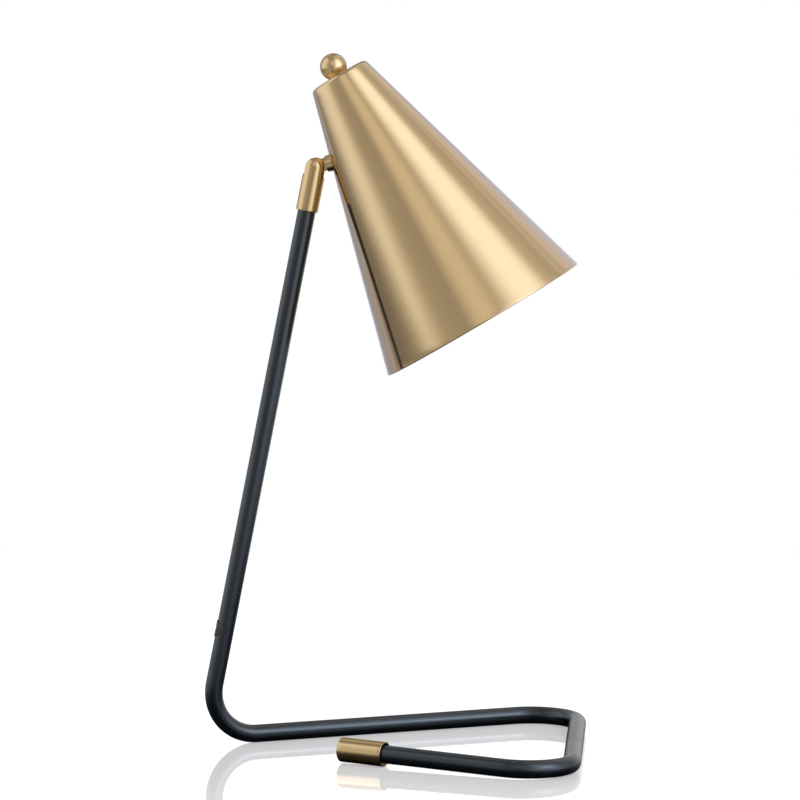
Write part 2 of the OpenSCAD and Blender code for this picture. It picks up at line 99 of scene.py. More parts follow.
@dataclass(frozen=True)
class Placement:
    """A frame of its own for one sub-assembly: an origin, and three axes as the rows of a matrix."""

    origin: Array
    axes: Array

    @staticmethod
    def leaning(origin: Array, degrees: float) -> "Placement":
        """A frame turned about Y, so that its Z axis leans towards +X by an angle.

        Args:
            origin: where the frame stands, in millimetres.
            degrees: the lean of its Z axis from upright.

        Returns:
            The frame.
        """
        lean = math.radians(degrees)
        x_axis = np.array([math.cos(lean), 0.0, -math.sin(lean)])
        z_axis = np.array([math.sin(lean), 0.0, math.cos(lean)])
        return Placement(origin, np.array([x_axis, [0.0, 1.0, 0.0], z_axis]))

    @staticmethod
    def pointing(origin: Array, direction: Array) -> "Placement":
        """A frame whose Z axis points along a direction.

        Args:
            origin: where the frame stands, in millimetres.
            direction: where its Z axis points, of any length.

        Returns:
            The frame.
        """
        z_axis = unit(direction)
        side = np.array([0.0, 0.0, 1.0]) if abs(z_axis[2]) < NEARLY_UPRIGHT else np.array([1.0, 0.0, 0.0])
        x_axis = unit(np.cross(side, z_axis))
        return Placement(origin, np.array([x_axis, np.cross(z_axis, x_axis), z_axis]))

    def out(self, points: Array) -> Array:
        """Points of this frame, in the lamp's frame."""
        return self.origin + points @ self.axes

    def at(self, x: float, y: float, z: float) -> Array:
        """One point of this frame, in the lamp's frame."""
        return self.out(np.array([x, y, z]))

    def angles(self) -> Triple:
        """The frame's turn as Euler angles, for a Mapping node."""
        return tuple(Matrix(self.axes.T.tolist()).to_euler("XYZ"))


@dataclass(frozen=True)
class Layout:
    """The lamp's main sizes and points, as the part's source has them."""

    tube_r: float = 6.35
    tube_wall: float = 1.2
    bend_r: float = 33.0
    stem_lean: float = 11.2
    shade_tilt: float = 30.7
    half_angle: float = 15.664
    sleeve_at: float = 382.6
    sleeve_grip: float = 16.0
    pivot_up: float = 31.4
    bush_at: float = 79.0
    bush_turn: float = 10.0

    @property
    def heel(self) -> Array:
        """The sharp corner of the centre line where the stem meets the base."""
        return np.array([-135.596, 0.0, self.tube_r])

    @property
    def back_corner(self) -> Array:
        """The sharp corner at the far end of the back run."""
        return np.array([128.650, 128.881, self.tube_r])

    @property
    def front_corner(self) -> Array:
        """The sharp corner where the front run starts."""
        return np.array([128.650, -128.881, self.tube_r])

    @property
    def front_end(self) -> Array:
        """The middle of the end cap's outer face."""
        return np.array([-32.114, -57.304, 9.143])

    @property
    def front_dir(self) -> Array:
        """The direction of the front run, from its corner to the end cap."""
        return unit(self.front_end - self.front_corner)

    @property
    def stem(self) -> Placement:
        """The frame up the stem, from the heel."""
        return Placement.leaning(self.heel, self.stem_lean)

    @property
    def shade(self) -> Placement:
        """The frame on the shade's axis, from the outside of its top, with Z upwards."""
        return Placement.leaning(np.array([-38.734, 0.0, 476.483]), -self.shade_tilt)

    @property
    def pivot(self) -> Array:
        """The middle of the hinge."""
        return self.stem.at(0.0, 0.0, self.sleeve_at + self.pivot_up)

    @property
    def tongue(self) -> Placement:
        """The frame at the hinge with Z along the tongue, square to the shade's wall."""
        arm = Placement.leaning(self.pivot, self.half_angle - self.shade_tilt)
        return Placement.pointing(self.pivot, arm.axes[0])

    @property
    def bush(self) -> Placement:
        """The frame in the middle of the stem at the cord bush, with Z out through the bush.

        Returns:
            The frame.
        """
        turn = math.radians(180 + self.bush_turn)
        middle = self.stem.at(0, 0, self.bush_at)
        outside = self.stem.at(math.cos(turn), math.sin(turn), self.bush_at)
        return Placement.pointing(middle, outside - middle)


LAMP = Layout()


def rounded(corners: Sequence[Triple], steps: int = 6, closed: bool = True) -> Array:
    """A flat outline with its corners rounded.

    Between two corners the outline is straight. At a corner with a radius it is an arc tangent
    to both of its lines: the start of the arc, plus the radius times (one minus cosine) inwards
    and times sine forwards.

    Args:
        corners: each corner as its two coordinates and its radius.
        steps: parts of each arc.
        closed: whether the last corner is joined to the first.

    Returns:
        The outline's points, n by 2.
    """
    points = np.array([corner[:2] for corner in corners], float)
    count = len(points)
    parts = []
    for index, (_, _, radius) in enumerate(corners):
        here = points[index]
        if radius == 0 or (not closed and index in (0, count - 1)):
            parts.append(here[None])
            continue
        before = unit(here - points[index - 1])
        after = unit(points[(index + 1) % count] - here)
        turn = math.acos(float(np.clip(before @ after, -1.0, 1.0)))
        inward = unit(after - (after @ before) * before)
        start = here - before * radius * math.tan(turn / 2)
        angle = np.linspace(0.0, turn, steps + 1)[:, None]
        parts.append(start + radius * (np.sin(angle) * before + (1 - np.cos(angle)) * inward))
    return np.concatenate(parts)


def finer(points: Array, longest: float, closed: bool = True) -> Array:
    """The same outline with more points on its long lines.

    Args:
        points: the outline, n by 2 or n by 3.
        longest: the longest step that is left, in millimetres.
        closed: whether the last point is joined to the first.

    Returns:
        The outline's points, each line cut into equal steps.
    """
    ends = np.roll(points, -1, axis=0) if closed else points[1:]
    starts = points if closed else points[:-1]
    cuts = np.maximum(1, np.ceil(np.linalg.norm(ends - starts, axis=1) / longest)).astype(int)
    which = np.repeat(np.arange(len(starts)), cuts)
    step = np.concatenate([np.arange(n) for n in cuts]) / cuts[which]
    finer_points = starts[which] + step[:, None] * (ends - starts)[which]
    return finer_points if closed else np.concatenate([finer_points, points[-1:]])


def bent_line(corners: Sequence[Array], radius: float, arc_steps: int,
              longest: float) -> tuple[Array, Array, Array]:
    """A line in space with a round bend at each inner corner, and a frame carried along it.

    In a bend the point turns about the bend's axis, and the two side directions turn with it, so
    the frame never twists about the line.

    Args:
        corners: the sharp corners of the line, its two ends among them.
        radius: the radius of every bend.
        arc_steps: parts of each bend.
        longest: the longest step on a straight, in millimetres.

    Returns:
        The points, the first side directions and the second side directions, each n by 3.
    """
    corners = [np.asarray(corner, float) for corner in corners]
    forward = unit(corners[1] - corners[0])
    first = Placement.pointing(corners[0], forward).axes[0]
    start = corners[0]
    points, sides = [], []
    for index in range(1, len(corners)):
        here = corners[index]
        last = index == len(corners) - 1
        after = forward if last else unit(corners[index + 1] - here)
        turn = math.acos(float(np.clip(forward @ after, -1.0, 1.0)))
        end = here - forward * radius * math.tan(turn / 2) * (not last)
        parts = max(1, math.ceil(float(np.linalg.norm(end - start)) / longest))
        share = np.linspace(0.0, 1.0, parts + 1)[:, None]
        points.append(start + share[: None if last else -1] * (end - start))
        sides.append(np.repeat(first[None], len(points[-1]), axis=0))
        if last:
            break
        inward = unit(after - (after @ forward) * forward)
        axis = np.cross(forward, inward)
        angle = np.linspace(0.0, turn, arc_steps + 1)[:, None]
        points.append((end + radius * (np.sin(angle) * forward + (1 - np.cos(angle)) * inward))[:-1])
        turned = (first * np.cos(angle) + np.cross(axis, first) * np.sin(angle)
                  + axis * (axis @ first) * (1 - np.cos(angle)))
        sides.append(turned[:-1])
        start = end + radius * (math.sin(turn) * forward + (1 - math.cos(turn)) * inward)
        first = turned[-1]
        forward = after
    line = np.concatenate(points)
    side = np.concatenate(sides)
    along = np.gradient(line, axis=0)
    along /= np.linalg.norm(along, axis=1, keepdims=True)
    side -= np.sum(side * along, axis=1, keepdims=True) * along
    side /= np.linalg.norm(side, axis=1, keepdims=True)
    return line, side, np.cross(along, side)


def grid_piece(name: str, points: Array, closed_rows: bool, closed_columns: bool,
               sharp: float = 35.0) -> bpy.types.Object:
    """A mesh object from a grid of points, with quads between neighbours.

    Doubled points, such as those of a pole, are merged, and the faces point outwards. The UV map
    runs from 0 to 1 along the columns and along the rows.

    Args:
        name: the piece's name.
        points: rows by columns by 3, in millimetres.
        closed_rows: whether the last row is joined to the first.
        closed_columns: whether the last column is joined to the first.
        sharp: edges that turn by more degrees than this stay sharp.

    Returns:
        The object, at the origin.
    """
    rows, columns = points.shape[:2]
    row, column = np.meshgrid(np.arange(rows if closed_rows else rows - 1),
                              np.arange(columns if closed_columns else columns - 1), indexing="ij")
    next_row = (row + 1) % rows
    next_column = (column + 1) % columns
    quads = np.stack([row * columns + column, row * columns + next_column,
                      next_row * columns + next_column, next_row * columns + column], axis=-1)
    mesh = bpy.data.meshes.new(name)
    mesh.from_pydata((points.reshape(-1, 3) * MM).tolist(), [], quads.reshape(-1, 4).tolist())
    across = np.stack([column, column + 1, column + 1, column], axis=-1) / quads.shape[1]
    along = np.stack([row, row, row + 1, row + 1], axis=-1) / quads.shape[0]
    uv = mesh.uv_layers.new(name="surface")
    uv.data.foreach_set("uv", np.stack([across, along], axis=-1).ravel().astype(np.float32))
    work = bmesh.new()
    work.from_mesh(mesh)
    bmesh.ops.remove_doubles(work, verts=work.verts, dist=SAME_POINT)
    bmesh.ops.recalc_face_normals(work, faces=work.faces)
    work.to_mesh(mesh)
    work.free()
    mesh.shade_smooth()
    mesh.set_sharp_from_angle(angle=math.radians(sharp))
    piece = bpy.data.objects.new(name, mesh)
    bpy.context.scene.collection.objects.link(piece)
    return piece


def turned_piece(name: str, profile: Array, place: Placement, steps: int = 96, closed: bool = True,
                 ripple: Optional[Ripple] = None, sharp: float = 35.0) -> bpy.types.Object:
    """A surface of revolution: each profile point (r, z) goes round as (r cos a, r sin a, z).

    Args:
        name: the piece's name.
        profile: the profile's points, radius and height.
        place: the frame whose Z axis is the axis.
        steps: parts of the full turn.
        closed: whether the profile is a closed loop; an open one starts and ends on the axis.
        ripple: takes angle, radius and height, and returns what is added to the radius.
        sharp: edges that turn by more degrees than this stay sharp.

    Returns:
        The object, at the origin.
    """
    angle = np.linspace(0.0, 2 * math.pi, steps, endpoint=False)[None, :]
    radius = profile[:, :1] + 0 * angle
    height = profile[:, 1:] + 0 * angle
    if ripple is not None:
        radius = radius + ripple(angle + 0 * height, radius, height)
    local = np.stack([radius * np.cos(angle), radius * np.sin(angle), height], axis=-1)
    return grid_piece(name, place.out(local), closed, True, sharp)


def swept_piece(name: str, line: tuple[Array, Array, Array], outer_r: float, inner_r: float = 0.0,
                steps: int = 48) -> bpy.types.Object:
    """A round rod or tube along a line: each ring is the line's point plus the radius times
    (cosine of one side direction plus sine of the other).

    Args:
        name: the piece's name.
        line: the points and the two side directions from bent_line.
        outer_r: the outside radius.
        inner_r: the radius of the bore, or 0 for a solid rod.
        steps: parts of the full turn.

    Returns:
        The object, at the origin.
    """
    points, side, other = line
    angle = np.linspace(0.0, 2 * math.pi, steps, endpoint=False)[None, :, None]
    ring = np.cos(angle) * side[:, None] + np.sin(angle) * other[:, None]
    outer = points[:, None] + outer_r * ring
    inner = points[:, None] + inner_r * ring
    if inner_r > 0:
        return grid_piece(name, np.concatenate([outer, inner[::-1]]), True, True)
    return grid_piece(name, np.concatenate([inner[:1], outer, inner[-1:]]), False, True)


def cut(piece: bpy.types.Object, tool: bpy.types.Object) -> None:
    """Takes one closed piece out of another, and removes the tool.

    Args:
        piece: the piece that is cut.
        tool: the closed mesh whose space is taken out.
    """
    modifier = piece.modifiers.new("cut", "BOOLEAN")
    modifier.operation = "DIFFERENCE"
    modifier.solver = "EXACT"
    modifier.object = tool
    ready = piece.evaluated_get(bpy.context.evaluated_depsgraph_get())
    mesh = bpy.data.meshes.new_from_object(ready)
    piece.modifiers.remove(modifier)
    old = piece.data
    piece.data = mesh
    mesh.name = piece.name
    bpy.data.meshes.remove(old)
    bpy.data.objects.remove(tool)


def drill(piece: bpy.types.Object, place: Placement, radius: float, start: float, end: float) -> None:
    """Drills a round hole in a piece, along the Z axis of a frame.

    Args:
        piece: the piece.
        place: the frame.
        radius: the hole's radius.
        start: the height at which the hole starts.
        end: the height at which it ends.
    """
    profile = np.array([[0, start], [radius, start], [radius, end], [0, end]])
    cut(piece, turned_piece("drill", profile, place, DRILL_RING, closed=False))


class Value:
    """One socket of a node tree, with the arithmetic of shader maths."""

    def __init__(self, shader: "Shader", socket: bpy.types.NodeSocket) -> None:
        """Wraps an output socket."""
        self.shader = shader
        self.socket = socket

    def maths(self, operation: str, first: "Number", second: "Number") -> "Value":
        """One Math node on two numbers or sockets."""
        return self.shader.node("ShaderNodeMath", {"operation": operation}, {0: first, 1: second})

    def __add__(self, other: "Number") -> "Value":
        """Sum."""
        return self.maths("ADD", self, other)

    def __radd__(self, other: "Number") -> "Value":
        """Sum with a number on the left."""
        return self.maths("ADD", other, self)

    def __sub__(self, other: "Number") -> "Value":
        """Difference."""
        return self.maths("SUBTRACT", self, other)

    def __rsub__(self, other: "Number") -> "Value":
        """Difference from a number on the left."""
        return self.maths("SUBTRACT", other, self)

    def __mul__(self, other: "Number") -> "Value":
        """Product."""
        return self.maths("MULTIPLY", self, other)

    def __rmul__(self, other: "Number") -> "Value":
        """Product with a number on the left."""
        return self.maths("MULTIPLY", other, self)

    def size(self) -> "Value":
        """The value without its sign."""
        return self.maths("ABSOLUTE", self, 0.0)

    def at_most(self, limit: float) -> "Value":
        """The value, or the limit where it is larger."""
        return self.maths("MINIMUM", self, limit)

    def clipped(self) -> "Value":
        """The value held between 0 and 1."""
        return self.shader.node("ShaderNodeClamp", {}, {"Value": self})

    def rise(self, low: float, high: float) -> "Value":
        """A straight rise from 0 where the value is low to 1 where it is high."""
        return ((self - low) * (1 / (high - low))).clipped()

    def step(self, low: float, high: float) -> "Value":
        """A smooth step from 0 where the value is low to 1 where it is high."""
        return self.shader.node("ShaderNodeMapRange", {"interpolation_type": "SMOOTHSTEP"},
                                {"Value": self, "From Min": low, "From Max": high})


Number = Union[Value, float]


class Shader:
    """The node tree of one material or of the world."""

    def __init__(self, tree: bpy.types.NodeTree) -> None:
        """Starts from an empty tree."""
        self.tree = tree
        tree.nodes.clear()

    def node(self, kind: str, settings: Optional[dict] = None, values: Optional[dict] = None,
             out: Union[int, str] = 0) -> Optional[Value]:
        """Adds one node.

        Args:
            kind: the node's type.
            settings: its own settings, set first; stops are a ramp's (place, colour) pairs.
            values: what its input sockets get, a number, a colour or another node's output.
            out: the output that is returned.

        Returns:
            The output socket, wrapped, or None from a node that ends a tree.
        """
        made = self.tree.nodes.new(kind)
        for name, value in (settings or {}).items():
            if name == "stops":
                self.fill(made.color_ramp.elements, value)
            else:
                setattr(made, name, value)
        for name, value in (values or {}).items():
            if isinstance(value, Value):
                self.tree.links.new(value.socket, made.inputs[name])
            elif isinstance(value, tuple) and len(value) == 3 and made.inputs[name].type == "RGBA":
                made.inputs[name].default_value = (*value, 1.0)
            else:
                made.inputs[name].default_value = value
        return Value(self, made.outputs[out]) if len(made.outputs) else None

    @staticmethod
    def fill(stops: bpy.types.ColorRampElements, wanted: Sequence[tuple[float, Colour]]) -> None:
        """Sets the stops of a new colour ramp, which has two to start with.

        Args:
            stops: the ramp's stops.
            wanted: the place and the colour of each, in order.
        """
        for index, (place, colour) in enumerate(wanted):
            stop = stops[index] if index < 2 else stops.new(place)
            stop.position = place
            stop.color = (*colour, 1.0)

    def place(self) -> Value:
        """The object coordinates, in metres."""
        return self.node("ShaderNodeTexCoord", out="Object")

    def local(self, place: Placement) -> Value:
        """The object coordinates in a sub-assembly's own frame, in metres."""
        return self.node("ShaderNodeMapping", {"vector_type": "TEXTURE"},
                         {"Vector": self.place(), "Location": tuple(place.origin * MM),
                          "Rotation": place.angles()})

    def across_and_up(self) -> tuple[Value, Value]:
        """How far across and how far up a new piece's own UV map is, each from 0 to 1."""
        place = self.node("ShaderNodeUVMap", {"uv_map": "surface"})
        return tuple(self.node("ShaderNodeSeparateXYZ", {}, {0: place}, out=part) for part in "XY")

    def stretched(self, vector: Value, per_metre: Triple) -> Value:
        """A vector with each of its parts multiplied."""
        return self.node("ShaderNodeVectorMath", {"operation": "MULTIPLY"}, {0: vector, 1: per_metre})

    def noise(self, vector: Value, detail: float, roughness: float = 0.5) -> Value:
        """Noise from 0 to 1 whose cells are one unit of the vector."""
        return self.node("ShaderNodeTexNoise", {}, {"Vector": vector, "Scale": 1.0, "Detail": detail,
                                                    "Roughness": roughness})

    def cells(self, vector: Value, size: float, detail: float) -> Value:
        """Noise from 0 to 1 whose cells have one size in all directions, in millimetres."""
        per_metre = 1 / (size * MM)
        return self.noise(self.stretched(vector, (per_metre, per_metre, per_metre)), detail)

    def mixed(self, share: Number, low: Union[Value, Colour], high: Union[Value, Colour]) -> Value:
        """A colour between two others."""
        return self.node("ShaderNodeMix", {"data_type": "RGBA"}, {0: share, 6: low, 7: high}, out=2)

    def bumped(self, height: Value, depth: float) -> Value:
        """A normal from a height between 0 and 1, for a depth in millimetres."""
        return self.node("ShaderNodeBump", {}, {"Height": height, "Strength": 1.0, "Distance": depth * MM})

    def ray(self, kind: str) -> Value:
        """1 for a ray of the kind that is named, and 0 for any other."""
        return self.node("ShaderNodeLightPath", out=f"Is {kind} Ray")

    def slant(self, ior: float) -> Value:
        """How much a surface mirrors: more, the more it is seen at a slant."""
        return self.node("ShaderNodeFresnel", {}, {"IOR": ior})

    def glow(self, strength: Number, colour: Union[Value, Colour] = WHITE) -> Value:
        """A surface that gives out light of its own."""
        return self.node("ShaderNodeEmission", {}, {"Color": colour, "Strength": strength})

    def mirror(self, roughness: float) -> Value:
        """A white surface that only mirrors."""
        return self.node("ShaderNodeBsdfGlossy", {}, {"Color": WHITE, "Roughness": roughness})

    def blend(self, share: Value, low: Value, high: Value) -> Value:
        """A surface between two others."""
        return self.node("ShaderNodeMixShader", {}, {0: share, 1: low, 2: high})

    def clear(self) -> Value:
        """A surface that isn't seen at all."""
        return self.node("ShaderNodeBsdfTransparent")

    def end(self, surface: Value) -> None:
        """Ends a material's tree with its surface."""
        self.node("ShaderNodeOutputMaterial", {}, {"Surface": surface})

    def finish(self, values: dict) -> None:
        """Ends a material's tree with a Principled shader that gets these values."""
        self.end(self.node("ShaderNodeBsdfPrincipled", {}, values))


def new_shader(name: str) -> tuple[bpy.types.Material, Shader]:
    """A new material with an empty node tree.

    Args:
        name: the material's name.

    Returns:
        The material and its tree.
    """
    material = bpy.data.materials.new(name)
    material.use_nodes = True
    return material, Shader(material.node_tree)


def uneven(level: float, *changes: tuple[Value, float]) -> Value:
    """A level that noises change: each adds itself, less its middle of 0.5, times a number.

    Args:
        level: the level without them.
        changes: each noise and its number.

    Returns:
        The changed level.
    """
    for noise, change in changes:
        level = level + (noise - 0.5) * change
    return level


@dataclass(frozen=True)
class TurnedMetal:
    """Lacquered metal, spun or turned about an axis: fine rings, and slow changes of tone."""

    name: str
    place: Placement
    colour: Colour
    deep_colour: Colour
    roughness: float = 0.2
    roughness_change: float = 0.08
    ring_pitch: float = 0.3
    ring_depth: float = 0.03
    patch: float = 22.0
    patch_share: float = 0.6
    speck: float = 0.35
    edge_tint: Colour = (0.5, 0.54, 0.8)
    lacquer: float = 0.9
    lacquer_ior: float = 1.65
    lacquer_roughness: float = 0.05

    def material(self) -> bpy.types.Material:
        """The finish as a material. Its rings are noise along the axis alone.

        Returns:
            The material.
        """
        material, shader = new_shader(self.name)
        local = shader.local(self.place)
        rings = shader.noise(shader.stretched(local, (0.0, 0.0, 1 / (self.ring_pitch * MM))), 3.0, 0.6)
        patches = shader.cells(local, self.patch, 2.0)
        specks = shader.cells(local, self.speck, 1.0)
        tone = (patches * self.patch_share + rings * (1 - self.patch_share)).clipped()
        shader.finish({
            "Base Color": shader.mixed(tone, self.deep_colour, self.colour),
            "Metallic": 1.0,
            "Roughness": uneven(self.roughness, (patches, self.roughness_change),
                                (specks, self.roughness_change)),
            "Normal": shader.bumped(rings, self.ring_depth),
            "Specular Tint": self.edge_tint,
            "Coat Weight": self.lacquer,
            "Coat Roughness": self.lacquer_roughness,
            "Coat IOR": self.lacquer_ior,
        })
        return material


@dataclass(frozen=True)
class TubeEnamel:
    """Blue-black stoved enamel: a satin film with a faint orange peel."""

    name: str = "tube_enamel"
    colour: Colour = (0.0004, 0.0011, 0.0024)
    worn_colour: Colour = (0.0014, 0.0028, 0.0048)
    roughness: float = 0.25
    patch: float = 40.0
    patch_share: float = 0.7
    patch_change: float = 0.12
    peel: float = 1.6
    peel_change: float = 0.06
    peel_depth: float = 0.012
    dust: float = 0.4
    gleam: float = 1.0
    gleam_tint: Colour = (0.86, 0.94, 1.0)

    def material(self) -> bpy.types.Material:
        """The finish as a material.

        Returns:
            The material.
        """
        material, shader = new_shader(self.name)
        place = shader.place()
        peel = shader.cells(place, self.peel, 2.0)
        patches = shader.cells(place, self.patch, 3.0)
        dust = shader.cells(place, self.dust, 1.0)
        worn = (patches * self.patch_share + dust * (1 - self.patch_share)).clipped()
        shader.finish({
            "Base Color": shader.mixed(worn, self.colour, self.worn_colour),
            "Roughness": uneven(self.roughness, (patches, self.patch_change), (peel, self.peel_change)),
            "Normal": shader.bumped(peel, self.peel_depth),
            "Specular IOR Level": self.gleam,
            "Specular Tint": self.gleam_tint,
        })
        return material


@dataclass(frozen=True)
class CastFinish:
    """An even finish with fine grain and slow patches, for moulded, fired, plated and drawn pieces."""

    name: str
    colour: Colour
    other_colour: Colour
    roughness: float
    metallic: float = 0.0
    grain: float = 0.4
    grain_change: float = 0.1
    grain_depth: float = 0.01
    patch: float = 12.0
    patch_share: float = 0.8
    patch_change: float = 0.14
    coat: float = 0.0
    coat_roughness: float = 0.08
    subsurface: float = 0.0
    subsurface_depth: float = 3.0

    def material(self) -> bpy.types.Material:
        """The finish as a material.

        Returns:
            The material.
        """
        material, shader = new_shader(self.name)
        place = shader.place()
        grain = shader.cells(place, self.grain, 2.0)
        patches = shader.cells(place, self.patch, 3.0)
        tone = (patches * self.patch_share + grain * (1 - self.patch_share)).clipped()
        shader.finish({
            "Base Color": shader.mixed(tone, self.colour, self.other_colour),
            "Roughness": uneven(self.roughness, (patches, self.patch_change), (grain, self.grain_change)),
            "Metallic": self.metallic,
            "Normal": shader.bumped(grain, self.grain_depth),
            "Coat Weight": self.coat,
            "Coat Roughness": self.coat_roughness,
            "Subsurface Weight": self.subsurface,
            "Subsurface Scale": self.subsurface_depth * MM,
        })
        return material


BRASS: Colour = (0.77, 0.54, 0.265)
BRASS_DEEP: Colour = (0.725, 0.492, 0.232)
ZINC = CastFinish("zinc_steel", (0.58, 0.59, 0.61), (0.42, 0.42, 0.43), 0.34, metallic=1.0, grain=0.6)
PHENOLIC = CastFinish("holder_phenolic", (0.016, 0.015, 0.014), (0.028, 0.026, 0.024), 0.36, patch=18.0)
RUBBER = CastFinish("bush_rubber", (0.014, 0.015, 0.017), (0.024, 0.025, 0.028), 0.55, grain=0.3)
SHEATH = CastFinish("lead_sheath", (0.02, 0.02, 0.021), (0.035, 0.035, 0.036), 0.5, grain=0.5)
PORCELAIN = CastFinish("glazed_porcelain", (0.86, 0.84, 0.79), (0.78, 0.76, 0.7), 0.25, coat=0.5)
OPAL = CastFinish("opal_glass", (0.9, 0.89, 0.86), (0.86, 0.85, 0.81), 0.16, grain=2.0, coat=0.6,
                  subsurface=0.4)
NICKEL = CastFinish("plated_shell", (0.66, 0.64, 0.6), (0.55, 0.52, 0.47), 0.26, metallic=1.0, grain=0.5)
BLACK_GLASS = CastFinish("black_glass", (0.01, 0.009, 0.012), (0.02, 0.018, 0.022), 0.12, grain=1.5)
LINING = CastFinish("white_lining", (0.84, 0.82, 0.76), (0.8, 0.775, 0.71), 0.42, grain=0.7, patch=30.0)


def turned_brass(name: str, place: Placement, **changes: float | Colour) -> TurnedMetal:
    """The lamp's brass, turned about the Z axis of a frame."""
    return TurnedMetal(name, place, BRASS, BRASS_DEEP, **changes)


def small_brass(name: str, place: Placement) -> TurnedMetal:
    """The small turned parts' brass: a thinner lacquer, so that its edges stay dark and warm."""
    return turned_brass(name, place, ring_depth=0.05, roughness=0.16, edge_tint=(0.5, 0.47, 0.42),
                        lacquer=0.3)


def dress(piece: bpy.types.Object, *materials: bpy.types.Material) -> None:
    """Puts materials on a piece, one slot each, in place of those it has.

    Args:
        piece: the piece.
        materials: its materials, in the order of its slots.
    """
    if len(piece.data.materials) == len(materials):
        for index, material in enumerate(materials):
            piece.data.materials[index] = material
        return
    piece.data.materials.clear()
    for material in materials:
        piece.data.materials.append(material)


def dress_nodes(material: bpy.types.Material, *nodes: str) -> None:
    """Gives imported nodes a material, and smooth shading between their sharp edges.

    Args:
        material: the material.
        nodes: the nodes' names.
    """
    for node in nodes:
        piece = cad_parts[node]
        dress(piece, material)
        piece.data.shade_smooth()
        weld = piece.modifiers.new("weld", "WELD")
        weld.merge_threshold = WELD_REACH
        split = piece.modifiers.new("edges", "EDGE_SPLIT")
        split.split_angle = math.radians(NODE_SHARP)
        LOG.info("dressed the node %s with %s", node, material.name)


def put(piece: bpy.types.Object, node: str, body: Body, slot: Slot,
        *materials: bpy.types.Material) -> None:
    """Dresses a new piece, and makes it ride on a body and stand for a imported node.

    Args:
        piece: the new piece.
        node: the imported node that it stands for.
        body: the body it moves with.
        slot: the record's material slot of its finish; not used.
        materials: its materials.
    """
    dress(piece, *materials)
    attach(piece, body.value)
    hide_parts(node)
    LOG.info("made %s for %s", piece.name, node)


@dataclass(frozen=True)
class Stand:
    """The bent tube with its end cap and cord bush."""

    tube_ring: int = 64
    tube_step: float = 9.0
    bend_steps: int = 28
    cap_r: float = 8.6
    cap_len: float = 34.2
    cap_end: float = 2.5
    cap_mouth: float = 4.0
    cap_lip: float = 1.2
    cap_edge: float = 1.0
    rim_edge: float = 0.35
    ledge_edge: float = 0.15
    bore_edge: float = 0.1
    cap_step: float = 2.5
    fit: float = 0.05
    bush_hole_r: float = 4.5
    screw_hole_r: float = 1.5
    screw_up: float = 8.0

    def tube(self) -> None:
        """The tube along its bent line, with the holes for the bush and the set screw in one wall."""
        top = LAMP.stem.at(0, 0, LAMP.sleeve_at + LAMP.sleeve_grip)
        free_end = LAMP.front_end - (self.cap_end + self.fit) * LAMP.front_dir
        line = bent_line([top, LAMP.heel, LAMP.back_corner, LAMP.front_corner, free_end],
                         LAMP.bend_r, self.bend_steps, self.tube_step)
        tube = swept_piece("tube", line, LAMP.tube_r, LAMP.tube_r - LAMP.tube_wall, self.tube_ring)
        screw = Placement.pointing(LAMP.stem.at(0, 0, LAMP.sleeve_at + self.screw_up), LAMP.stem.axes[1])
        for place, radius in ((LAMP.bush, self.bush_hole_r), (screw, self.screw_hole_r)):
            drill(tube, place, radius, 0.0, 2 * LAMP.tube_r)
        put(tube, "bent_tube", Body.STAND, Slot.TUBE_PAINT, TubeEnamel().material())

    def cap(self) -> None:
        """The end cap, a turned cup with a wider mouth."""
        bore = LAMP.tube_r + self.fit
        mouth = self.cap_r - self.cap_lip
        ledge = self.cap_len - self.cap_mouth
        profile = rounded([
            (0, 0, 0), (self.cap_r, 0, self.cap_edge), (self.cap_r, self.cap_len, self.rim_edge),
            (mouth, self.cap_len, self.rim_edge), (mouth, ledge, self.ledge_edge),
            (bore, ledge, self.bore_edge), (bore, self.cap_end, 0), (0, self.cap_end, 0)], closed=False)
        place = Placement.pointing(LAMP.front_end, -LAMP.front_dir)
        cap = turned_piece("cap_of_the_tube", finer(profile, self.cap_step, False), place, closed=False)
        put(cap, "end_cap", Body.STAND, Slot.BRASS, small_brass("cap_brass", place).material())

    def build(self) -> None:
        """Builds the stand's pieces."""
        self.tube()
        self.cap()
        dress_nodes(RUBBER.material(), "cord_bush")


@dataclass(frozen=True)
class HingeHead:
    """The fork sleeve, its pins and screw, and the tongue with its washers and nut."""

    def build(self) -> None:
        """Dresses the hinge's nodes, each turned piece with its rings about its own axis."""
        pin = Placement.pointing(LAMP.pivot, LAMP.stem.axes[1])
        dress_nodes(small_brass("sleeve_brass", LAMP.stem).material(), "fork_sleeve")
        dress_nodes(small_brass("tongue_brass", LAMP.tongue).material(), "tongue", "saddle_washer")
        dress_nodes(small_brass("pin_brass", pin).material(), "pivot_pins")
        dress_nodes(ZINC.material(), "sleeve_set_screw", "friction_washers", "inner_washer", "stub_nut")


def of_faces(mesh: bpy.types.Mesh, what: str) -> Array:
    """One vector for each face of a mesh.

    Args:
        mesh: the mesh.
        what: center or normal.

    Returns:
        The vectors, n by 3.
    """
    values = np.empty(len(mesh.polygons) * 3, np.float32)
    mesh.polygons.foreach_get(what, values)
    return values.reshape(-1, 3)


